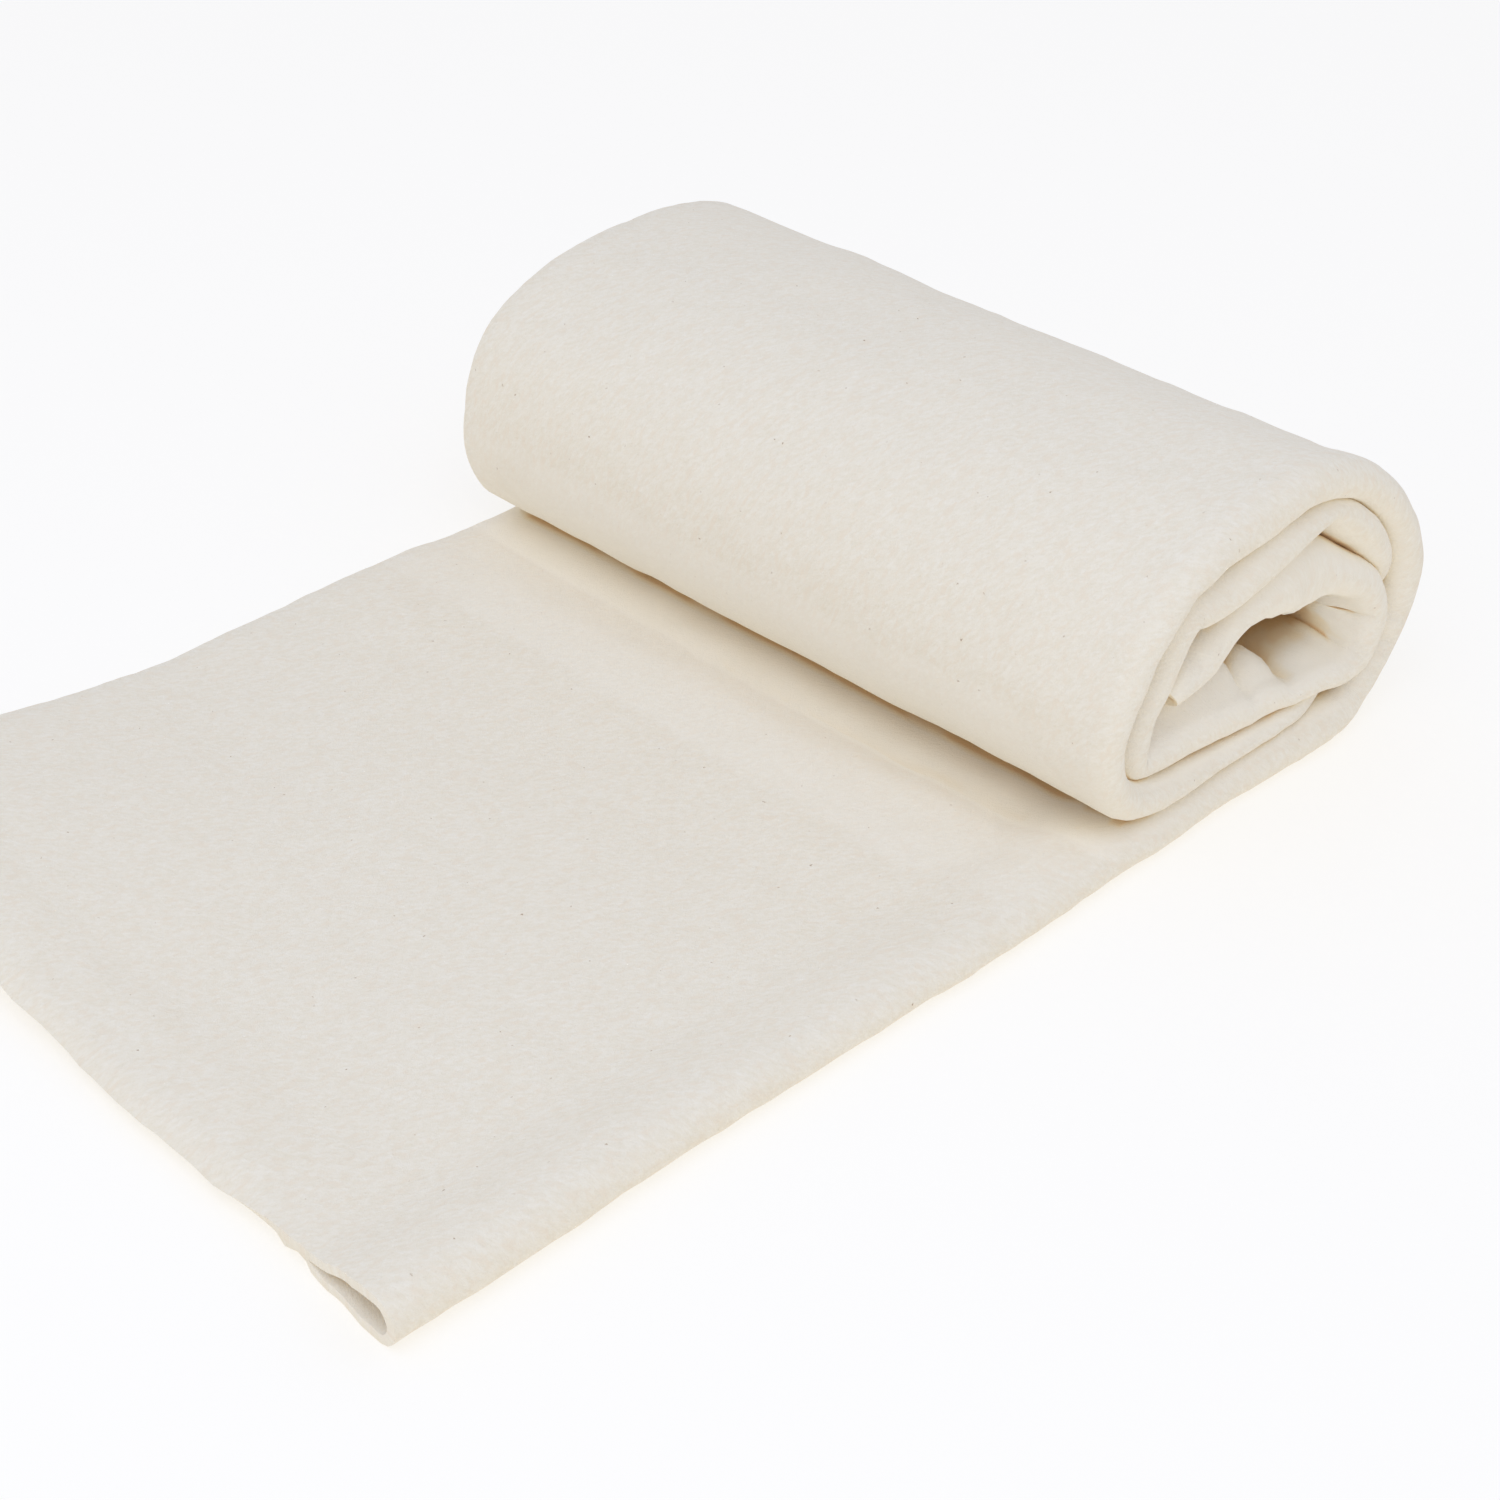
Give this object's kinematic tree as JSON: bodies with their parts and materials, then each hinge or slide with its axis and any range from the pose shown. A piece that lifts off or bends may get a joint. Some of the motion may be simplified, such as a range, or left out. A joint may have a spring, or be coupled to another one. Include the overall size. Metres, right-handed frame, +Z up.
{
  "type": "roll of cotton batting",
  "caption": "Cotton batting folded in half along its length and loosely rolled from one end into a squashed oval roll, with the loose end lying out flat in front of it.",
  "frame": {"origin": "middle of the underside, on the surface the roll and its loose end lie on", "axes": "+X along the strip from its loose end towards the roll, +Y along the roll from the folded side to the cut edges, +Z up"},
  "size_m": [0.4376, 0.3062, 0.1113],
  "materials": {
    "batting": "matte needle-punched cotton fibre, natural off-white"
  },
  "bodies": {
    "root": {"batting": "batting"}
  },
  "joints": []
}
